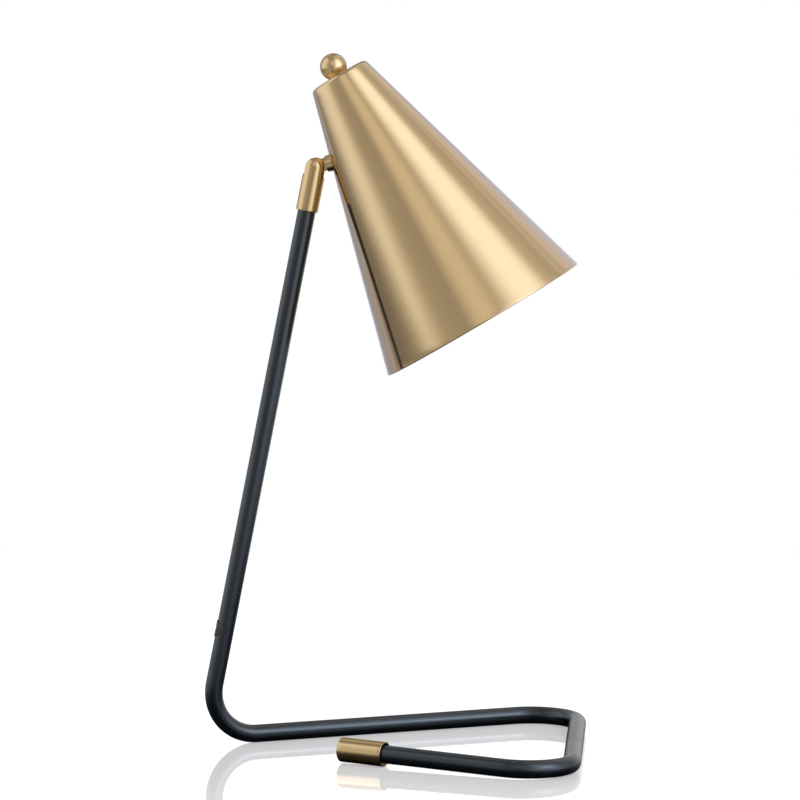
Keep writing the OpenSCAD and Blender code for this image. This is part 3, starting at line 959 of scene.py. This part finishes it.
@dataclass(frozen=True)
class Shade:
    """The spun cone with its turned-in hem and white lining, and what closes its top."""

    top_r: float = 21.7
    mouth_r: float = 77.5
    length: float = 199.0
    sheet: float = 0.8
    top_fillet: float = 3.3
    hem: float = 0.8
    hem_height: float = 2.2
    hem_edge: float = 0.75
    hole_r: float = 5.05
    hole_edge: float = 0.1
    edge_steps: int = 8
    cone_step: float = 4.0
    cone_ring: int = 256
    stub_hole_r: float = 4.05
    stub_hole_from: float = 2.0
    stub_hole_to: float = 20.0
    facing_away: float = -0.5
    lining_top: float = -20.0
    ball_r: float = 9.5
    ball_up: float = 7.0
    ball_thread: float = 8.0
    ball_rows: int = 40
    ball_step: float = 2.0
    ball_ring: int = 72

    def shell(self) -> None:
        """The cone: its outside from the hole in the top to the mouth, and back inside.

        The wall's radius grows evenly with the depth, its top edge is rounded, and the sheet is
        folded inwards at the mouth.
        """
        inner_top = self.top_r - self.sheet / math.cos(math.radians(LAMP.half_angle))
        slope = (self.mouth_r - self.top_r) / self.length
        inner_mouth = inner_top + slope * self.length
        hem_r = inner_mouth - self.hem
        hem_top = self.hem_height - self.length
        profile = rounded([
            (self.hole_r, 0, self.hole_edge), (self.top_r, 0, self.top_fillet),
            (self.mouth_r, -self.length, self.hem_edge), (hem_r, -self.length, self.hem_edge),
            (hem_r, hem_top, self.hem_edge), (inner_mouth - slope * self.hem_height, hem_top, 0),
            (inner_top + slope * self.sheet, -self.sheet, self.top_fillet - self.sheet),
            (self.hole_r, -self.sheet, self.hole_edge)], steps=self.edge_steps)
        shell = turned_piece("shade", finer(profile, self.cone_step), LAMP.shade, self.cone_ring)
        drill(shell, LAMP.tongue, self.stub_hole_r, self.stub_hole_from, self.stub_hole_to)
        brass = turned_brass("shade_brass", LAMP.shade, roughness=0.12, roughness_change=0.05)
        put(shell, "shade_shell", Body.SHADE_HEAD, Slot.BRASS, brass.material(), LINING.material())
        self.line(shell)

    def line(self, shell: bpy.types.Object) -> None:
        """Gives the lining, the second material, to what faces the axis and to the top's underside.

        Args:
            shell: the cone.
        """
        place = LAMP.shade
        local = (of_faces(shell.data, "center") / MM - place.origin) @ place.axes.T
        facing = of_faces(shell.data, "normal") @ place.axes.T
        outward = np.sum(facing[:, :2] * local[:, :2], axis=1) / np.hypot(local[:, 0], local[:, 1])
        under_top = (facing[:, 2] < self.facing_away) & (local[:, 2] > self.lining_top)
        lined = (outward < self.facing_away) | under_top
        shell.data.polygons.foreach_set("material_index", lined.astype(np.int32))

    def ball(self) -> None:
        """The finial: a ball cut flat below, with a blind hole for the nipple."""
        angle = np.linspace(-math.asin(self.ball_up / self.ball_r), math.pi / 2, self.ball_rows)
        skin = np.stack([self.ball_r * np.cos(angle), self.ball_up + self.ball_r * np.sin(angle)], axis=-1)
        skin[-1, 0] = 0.0
        hole = [[0, self.ball_thread], [self.hole_r, self.ball_thread], [self.hole_r, 0]]
        profile = finer(np.concatenate([hole, skin]), self.ball_step, False)
        ball = turned_piece("finial", profile, LAMP.shade, self.ball_ring, closed=False)
        brass = turned_brass("finial_brass", LAMP.shade, roughness=0.24, lacquer=0.4, lacquer_roughness=0.15)
        put(ball, "finial_ball", Body.SHADE_HEAD, Slot.BRASS, brass.material())

    def build(self) -> None:
        """Builds and dresses the shade's pieces."""
        self.shell()
        self.ball()
        dress_nodes(ZINC.material(), "threaded_nipple", "top_washer", "top_nut")


@dataclass(frozen=True)
class ScrewThread:
    """The rolled round thread that the holder's shell and the bulb's base share."""

    pitch: float = 3.62
    depth: float = 1.0
    row: float = 0.4
    ring: int = 72

    def piece(self, name: str, profile: Array, low: float, high: float) -> bpy.types.Object:
        """A thin shell on the shade's axis with the thread rolled into it.

        The radius falls by a cosine of the height in pitches less the angle in turns, and the fall
        fades out over one pitch at each end.

        Args:
            name: the piece's name.
            profile: the shell's closed profile, radius and height.
            low: where the thread starts.
            high: where it ends.

        Returns:
            The object, at the origin.
        """
        def rolled(angle: Array, radius: Array, height: Array) -> Array:
            """What the thread adds to the radius."""
            fade = np.clip((height - low) / self.pitch, 0, 1) * np.clip((high - height) / self.pitch, 0, 1)
            return -self.depth * fade * (1 - np.cos(2 * math.pi * height / self.pitch - angle)) / 2
        return turned_piece(name, finer(profile, self.row), LAMP.shade, self.ring, ripple=rolled)


@dataclass(frozen=True)
class Holder:
    """The lamp holder: cap, body, insulator, screw shell and contacts."""

    radius: float = 19.4
    wall: float = 2.0
    body_top: float = -27.0
    body_len: float = 31.0
    body_row: float = 1.0
    insulator: float = -33.0
    top_edge: float = 0.4
    mouth_edge: float = 1.5
    ledge_edge: float = 0.5
    ledge_gap: float = 1.0
    ribs: int = 48
    rib_steps: int = 6
    rib_depth: float = 0.35
    ribs_below_top: float = 3.0
    ribs_above_mouth: float = 8.0
    shell_r: float = 13.4
    shell_sheet: float = 0.5
    shell_len: float = 23.0
    thread_above_mouth: float = 1.0
    thread_below_top: float = 4.0

    def body(self) -> None:
        """The body: a tube with a lip and a ledge, and shallow grip ribs round its outside."""
        inner = self.radius - self.wall
        ledge = self.shell_r + self.shell_sheet + self.ledge_gap
        bottom = self.body_top - self.body_len
        profile = rounded([
            (inner, self.body_top, 0), (self.radius, self.body_top, self.top_edge),
            (self.radius, bottom, self.mouth_edge), (ledge, bottom, self.ledge_edge),
            (ledge, bottom + self.wall, 0), (inner, bottom + 2 * self.wall, 0),
            (inner, self.insulator - 2 * self.wall, 0), (ledge, self.insulator - self.wall, 0),
            (ledge, self.insulator, 0), (inner, self.insulator, 0)])
        high = self.body_top - self.ribs_below_top
        low = bottom + self.ribs_above_mouth
        middle = self.radius - self.wall / 2

        def ribbed(angle: Array, radius: Array, height: Array) -> Array:
            """A cosine of the angle on the outside, which fades out at both ends of the ribs."""
            fade = np.clip(high - height, 0, 1) * np.clip(height - low, 0, 1) * (radius > middle)
            return -self.rib_depth * fade * (1 - np.cos(self.ribs * angle)) / 2
        body = turned_piece("holder_skirt", finer(profile, self.body_row), LAMP.shade,
                            self.ribs * self.rib_steps, ripple=ribbed)
        put(body, "holder_body", Body.SHADE_HEAD, Slot.BLACK_PLASTIC, PHENOLIC.material())

    def screw(self) -> None:
        """The screw shell, a rolled thread in thin sheet."""
        bottom = self.insulator - self.shell_len
        outer = self.shell_r + self.shell_sheet
        profile = np.array([[self.shell_r, self.insulator], [outer, self.insulator],
                            [outer, bottom], [self.shell_r, bottom]])
        shell = ScrewThread().piece("threaded_shell", profile, bottom + self.thread_above_mouth,
                                    self.insulator - self.thread_below_top)
        put(shell, "screw_shell", Body.SHADE_HEAD, Slot.STEEL, NICKEL.material())

    def build(self) -> None:
        """Builds and dresses the holder's pieces."""
        self.body()
        self.screw()
        contact_brass = turned_brass("contact_brass", LAMP.shade, ring_pitch=0.2, ring_depth=0.02)
        dress_nodes(PHENOLIC.material(), "holder_cap")
        dress_nodes(PORCELAIN.material(), "holder_insulator")
        dress_nodes(contact_brass.material(), "centre_contact", "terminal_screws")


@dataclass(frozen=True)
class Bulb:
    """The opal bulb and its screw base."""

    glass_r: float = 30.0
    neck_r: float = 12.4
    glass_t: float = 0.8
    glass_step: float = 3.0
    glass_sharp: float = 60.0
    neck_steps: int = 32
    end_steps: int = 28
    top: float = -57.0
    start: float = -63.0
    middle: float = -112.0
    base_r: float = 13.1
    base_t: float = 0.4
    base_top: float = -39.5
    base_edge: float = 1.5
    tip_r: float = 4.5
    thread_above_glass: float = 2.0
    thread_below_top: float = 3.0

    def skin(self, inset: float) -> Array:
        """One skin of the glass: the radius swells as the square of a sine, then a half circle.

        Args:
            inset: how far the skin lies under the outer one.

        Returns:
            The skin's profile, radius and height, from the neck to the far end.
        """
        share = np.linspace(0.0, 1.0, self.neck_steps + 1)
        neck = self.neck_r - inset
        full = self.glass_r - inset
        swell = np.stack([neck + (full - neck) * np.sin(share * math.pi / 2) ** 2,
                          self.start + share * (self.middle - self.start)], axis=-1)
        angle = np.linspace(0.0, math.pi / 2, self.end_steps + 1)[1:]
        end = np.stack([full * np.cos(angle), self.middle - full * np.sin(angle)], axis=-1)
        end[-1, 0] = 0.0
        return np.concatenate([[[neck, self.top]], swell, end])

    def glass(self) -> None:
        """The glass, from its outer skin's far end to the neck and back inside."""
        profile = np.concatenate([self.skin(0.0)[::-1], self.skin(self.glass_t)])
        glass = turned_piece("opal_bulb", finer(profile, self.glass_step, False), LAMP.shade,
                             closed=False, sharp=self.glass_sharp)
        put(glass, "bulb_glass", Body.SHADE_HEAD, Slot.OPAL_GLASS, OPAL.material())

    def base(self) -> None:
        """The screw base, with a round hole in its end for the tip."""
        inside = self.base_r - self.base_t
        below = self.base_top - self.base_t
        profile = rounded([
            (self.base_r, self.base_top, self.base_edge), (self.base_r, self.start, 0),
            (inside, self.start, 0), (inside, below, self.base_edge - self.base_t),
            (self.tip_r, below, 0), (self.tip_r, self.base_top, 0)])
        base = ScrewThread().piece("bulb_thread", profile, self.start + self.thread_above_glass,
                                   self.base_top - self.thread_below_top)
        put(base, "bulb_base", Body.SHADE_HEAD, Slot.BULB_SHELL, NICKEL.material())

    def build(self) -> None:
        """Builds and dresses the bulb's pieces."""
        self.glass()
        self.base()
        dress_nodes(BLACK_GLASS.material(), "bulb_tip_glass")
        dress_nodes(ZINC.material(), "bulb_tip_contact")


@dataclass(frozen=True)
class Leads:
    """The lead up the stem and the lead into the holder."""

    radius: float = 2.0
    ring: int = 24
    bush_inner_r: float = 4.15
    loose: float = 0.3
    straight_in_bush: float = 1.0
    stem_bend_steps: int = 10
    stem_step: float = 8.0
    lead_out: float = 23.0
    lead_in: float = 9.0
    entry: float = -21.5
    end: float = -28.7
    bend: float = 4.5
    bend_steps: int = 12
    step: float = 4.0

    def low(self, sheath: bpy.types.Material) -> None:
        """The lead from the cord bush up the stem to just under the pivot.

        Args:
            sheath: its material.
        """
        inward = self.bush_inner_r - self.loose
        top = LAMP.sleeve_at + LAMP.pivot_up - self.radius - self.loose
        line = bent_line([LAMP.bush.at(0, 0, inward), LAMP.bush.origin, LAMP.stem.at(0, 0, top)],
                         inward - self.straight_in_bush, self.stem_bend_steps, self.stem_step)
        lead = swept_piece("lead_in_stem", line, self.radius, steps=self.ring)
        put(lead, "stem_lead", Body.STAND, Slot.LEAD_SHEATH, sheath)

    def high(self, sheath: bpy.types.Material) -> None:
        """The lead from the pivot along the tongue, into the shade and down into the holder.

        Args:
            sheath: its material.
        """
        place = LAMP.shade
        pivot = (LAMP.pivot - place.origin) @ place.axes.T
        arm = place.axes @ LAMP.tongue.axes[2]
        corner = pivot + (-self.lead_out - pivot[0]) / arm[0] * arm
        route = np.array([pivot - self.radius * arm, corner, [-self.lead_out, 0, self.entry],
                          [-self.lead_in, 0, self.entry], [-self.lead_in, 0, self.end]])
        line = bent_line(place.out(route), self.bend, self.bend_steps, self.step)
        lead = swept_piece("lead_in_shade", line, self.radius, steps=self.ring)
        put(lead, "shade_lead", Body.SHADE_HEAD, Slot.LEAD_SHEATH, sheath)

    def build(self) -> None:
        """Builds both leads, which share a finish."""
        sheath = SHEATH.material()
        self.low(sheath)
        self.high(sheath)


def for_reflections(piece: bpy.types.Object) -> None:
    """Marks a piece of the studio which only reflections see.

    Args:
        piece: the piece.
    """
    piece.visible_camera = False
    piece.visible_diffuse = False
    piece.visible_transmission = False
    piece.visible_shadow = False


def bearing(azimuth: float) -> Array:
    """A level direction by its azimuth, from -Y towards +X in degrees."""
    turn = math.radians(azimuth)
    return np.array([math.sin(turn), -math.cos(turn), 0.0])


@dataclass(frozen=True)
class Softbox:
    """One upright soft light: its azimuth and distance from the lamp, its sides in metres, its
    radiance, and how far its cloth fades in from its sides and from its ends."""

    name: str
    azimuth: float
    distance: float
    width: float
    bottom: float
    top: float
    radiance: float
    side_fade: float
    end_fade: float
    colour: Colour = NEARLY_WHITE
    watts: float = 4.0
    rows: int = 5

    def light(self) -> None:
        """The area light behind the cloth, which lights what isn't mirrored.

        Its power is so many watts for each square metre at a radiance of one.
        """
        light = bpy.data.lights.new(self.name, "AREA")
        light.shape = "RECTANGLE"
        light.size = self.width - self.side_fade
        light.size_y = self.top - self.bottom - self.end_fade
        light.energy = self.watts * light.size * light.size_y * self.radiance
        lamp = bpy.data.objects.new(self.name, light)
        towards = Vector(bearing(self.azimuth))
        lamp.location = self.distance * towards + Vector((0.0, 0.0, (self.top + self.bottom) / 2))
        lamp.rotation_euler = towards.to_track_quat("Z", "Y").to_euler()
        lamp.visible_camera = False
        lamp.visible_glossy = False
        bpy.context.scene.collection.objects.link(lamp)

    def cloth(self) -> None:
        """The cloth that reflections show: a flat sheet which faces the lamp and fades at its edges."""
        across = (np.linspace(-0.5, 0.5, self.rows) * self.width)[None, :, None]
        height = np.linspace(self.bottom, self.top, self.rows)[:, None, None]
        middle = self.distance * bearing(self.azimuth)
        points = middle + across * bearing(self.azimuth + 90.0) + height * np.array([0.0, 0.0, 1.0])
        cloth = grid_piece(self.name + "_cloth", points / MM, False, False)
        material, shader = new_shader(self.name + "_cloth")
        along, up = shader.across_and_up()
        cover = (self.covered(along, self.side_fade / self.width)
                 * self.covered(up, self.end_fade / (self.top - self.bottom)))
        shader.end(shader.blend(cover, shader.clear(), shader.glow(self.radiance, self.colour)))
        material.cycles.emission_sampling = "NONE"
        dress(cloth, material)
        for_reflections(cloth)

    @staticmethod
    def covered(share: Value, fade: float) -> Value:
        """How bright the cloth is at a share of its side: a smooth step up from each edge."""
        return (0.5 - (share - 0.5).size()).step(0.0, fade)

    def build(self) -> None:
        """Builds the light and its cloth."""
        self.light()
        self.cloth()
        LOG.info("lit by %s", self.name)


@dataclass(frozen=True)
class Studio:
    """The white world, the dim room that reflections see, the pale floor, the lights and the camera.

    The tones of the room's wall are pairs of an azimuth in degrees and a radiance.
    """

    room_radius: float = 9.0
    room_columns: int = 121
    room_rows: int = 49
    wall_foot: float = -30.0
    wall_top: float = 90.0
    wall_tones: tuple[tuple[float, float], ...] = (
        (-180, 0.75), (-168, 0.7), (-150, 0.5), (-128, 0.54), (-122, 0.27), (-105, 0.23), (-88, 0.3),
        (-50, 0.48), (-20, 0.38), (-9, 0.3), (2, 0.34), (10, 0.53), (40, 0.68), (75, 0.75), (120, 0.53),
        (126, 0.7), (134, 0.61), (141, 0.8), (172, 0.9), (180, 0.8))
    back_edge: float = 160.0
    back_fade: float = 0.02
    dark_ceiling: float = 0.6
    ceiling_from: float = 12.0
    ceiling_full: float = 30.0
    diffuse_level: float = 0.62
    floor_colour: Colour = (0.93, 0.93, 0.93)
    floor_gloss: float = 0.8
    floor_grazing: float = 3.0
    floor_ior: float = 1.2
    floor_roughness: float = 0.03
    floor_lift: float = 0.4
    floor_near: float = 0.5
    floor_far: float = 1.1
    # Painted shade round the lamp's foot, which only reflections see: the glow there, and what is added
    # further out.
    painted_foot_shade: float = 0.003
    pale_table: float = 0.42
    table_ior: float = 1.3
    table_roughness: float = 0.1
    # The painted shade stays darkest out to the first distance and is fully paler by the second, in metres.
    painted_shade_radius: float = 0.18
    foot_pale: float = 0.5
    table_near: float = 0.8
    table_far: float = 1.0
    eye: Triple = (0.187486, -2.540850, 0.462979)
    look: Triple = (-0.0716016, 0.9938988, -0.0838956)
    focal_pixels: float = 3624.96
    image_pixels: float = 800.0
    sensor: float = 36.0
    furthest: float = 100.0

    def world(self) -> None:
        """White for what is seen, mirrored or seen through, and a plain level for diffuse light."""
        world = bpy.data.worlds.new("studio")
        bpy.context.scene.world = world
        world.use_nodes = True
        shader = Shader(world.node_tree)
        white = (shader.ray("Camera") + shader.ray("Glossy") + shader.ray("Transmission")).clipped()
        strength = self.diffuse_level + white * (1 - self.diffuse_level)
        background = shader.node("ShaderNodeBackground", {}, {"Color": WHITE, "Strength": strength})
        shader.node("ShaderNodeOutputWorld", {}, {"Surface": background})

    def share_up(self, elevation: float) -> float:
        """How far up the wall an elevation in degrees is, from 0 to 1."""
        return (elevation - self.wall_foot) / (self.wall_top - self.wall_foot)

    def wall(self) -> bpy.types.Material:
        """The dim room's wall: its radiance changes with the azimuth, and it isn't sampled as a lamp.

        High up behind the lamp it is darker by a share.

        Returns:
            The material.
        """
        material, shader = new_shader("dim_wall")
        first = self.wall_tones[0][0]
        turn = self.wall_tones[-1][0] - first
        stops = [((azimuth - first) / turn, (tone, tone, tone)) for azimuth, tone in self.wall_tones]
        across, up = shader.across_and_up()
        tone = shader.node("ShaderNodeValToRGB", {"stops": stops}, {"Fac": across})
        edge = self.back_edge / turn
        behind = (across - 0.5).size().step(edge, edge + self.back_fade)
        high = up.step(self.share_up(self.ceiling_from), self.share_up(self.ceiling_full))
        shader.end(shader.glow(1 - behind * high * self.dark_ceiling, tone))
        material.cycles.emission_sampling = "NONE"
        return material

    def room(self) -> None:
        """The dim room round the lamp, which only reflections see: a sphere with an open foot."""
        turns = np.linspace(self.wall_tones[0][0], self.wall_tones[-1][0], self.room_columns)
        azimuth = np.radians(turns)[None, :]
        rise = np.radians(np.linspace(self.wall_foot, self.wall_top, self.room_rows))[:, None]
        points = np.stack([np.cos(rise) * np.sin(azimuth), -np.cos(rise) * np.cos(azimuth),
                           np.sin(rise) + 0 * azimuth], axis=-1)
        room = grid_piece("dim_room", self.room_radius / MM * points, False, False)
        dress(room, self.wall())
        for_reflections(room)

    def seen_floor(self, shader: Shader) -> Value:
        """The floor that the camera sees: matt and pale, more of a mirror at a slant, a little lifted.

        Args:
            shader: the floor's node tree.

        Returns:
            The surface.
        """
        matt = shader.node("ShaderNodeBsdfDiffuse", {}, {"Color": self.floor_colour})
        gloss = (shader.slant(self.floor_ior) * self.floor_grazing).at_most(self.floor_gloss)
        pale = shader.blend(gloss, matt, shader.mirror(self.floor_roughness))
        lift = shader.glow(shader.ray("Camera") * self.floor_lift)
        return shader.node("ShaderNodeAddShader", {}, {0: pale, 1: lift})

    def mirrored_floor(self, shader: Shader, away: Value) -> Value:
        """The floor that reflections see: a painted shade round the lamp's foot, glowing dark there and
        paler away from it.

        Args:
            shader: the floor's node tree.
            away: the distance from the middle of the floor, in metres.

        Returns:
            The surface.
        """
        # Painted shade: the glow is darkest round the lamp's foot and grows paler away from it, seen only in
        # reflections.
        paler = away.rise(self.painted_shade_radius, self.foot_pale)
        dark = shader.glow(self.painted_foot_shade + paler * self.pale_table)
        return shader.blend(shader.slant(self.table_ior), dark, shader.mirror(self.table_roughness))

    def floor(self) -> None:
        """A pale, slightly polished floor, which fades into the white world far from the lamp.

        Reflections see it darker, with a painted shade round the lamp's foot, and from below it isn't seen.
        """
        sides = np.linspace(-self.floor_far / MM, self.floor_far / MM, 3)
        x, y = np.meshgrid(sides, sides)
        floor = grid_piece("floor", np.stack([x, y, 0 * x], axis=-1), False, False)
        material, shader = new_shader("pale_floor")
        away = shader.node("ShaderNodeVectorMath", {"operation": "LENGTH"}, {0: shader.place()}, out="Value")
        mirrored = shader.ray("Glossy")
        surface = shader.blend(mirrored, self.seen_floor(shader), self.mirrored_floor(shader, away))
        below = shader.node("ShaderNodeNewGeometry", out="Backfacing")
        seen_fade = shader.ray("Camera") * (away.rise(self.floor_near, self.floor_far) + below)
        mirrored_fade = mirrored * away.rise(self.table_near, self.table_far)
        shader.end(shader.blend((seen_fade + mirrored_fade).clipped(), surface, shader.clear()))
        dress(floor, material)

    def lights(self) -> None:
        """Two soft lights on the right, one on the left, and one above the camera."""
        Softbox("right_panel", azimuth=51, distance=3.0, width=6.0, bottom=-1.2, top=7.0, radiance=1.5,
                side_fade=2.55, end_fade=1.4, colour=COOL).build()
        Softbox("right_strip", azimuth=53, distance=2.8, width=2.4, bottom=0.6, top=2.6, radiance=3.6,
                side_fade=0.9, end_fade=0.8, colour=COOL).build()
        Softbox("left_panel", azimuth=-88, distance=3.0, width=5.6, bottom=-0.24, top=5.0, radiance=1.02,
                side_fade=1.9, end_fade=0.42).build()
        Softbox("front_panel", azimuth=-7, distance=3.0, width=2.3, bottom=1.0, top=4.1, radiance=0.79,
                side_fade=0.9, end_fade=0.4, colour=WARM).build()

    def camera(self) -> None:
        """The camera at the photograph's place, with its focal length in pixels of the image."""
        data = bpy.data.cameras.new("camera")
        data.sensor_width = self.sensor
        data.lens = self.focal_pixels / self.image_pixels * self.sensor
        data.clip_end = self.furthest
        camera = bpy.data.objects.new("camera", data)
        camera.location = self.eye
        camera.rotation_euler = Vector(self.look).to_track_quat("-Z", "Y").to_euler()
        bpy.context.scene.collection.objects.link(camera)
        bpy.context.scene.camera = camera

    def build(self) -> None:
        """Sets up the studio."""
        self.camera()
        self.world()
        self.room()
        self.floor()
        self.lights()
        bpy.context.scene.view_settings.view_transform = "Standard"


def main() -> None:
    """Builds the studio and then the lamp, sub-assembly by sub-assembly."""
    logging.basicConfig(level=logging.INFO, format="%(message)s")
    Studio().build()
    Stand().build()
    HingeHead().build()
    Shade().build()
    Holder().build()
    Bulb().build()
    Leads().build()


if __name__ == "__main__":
    main()
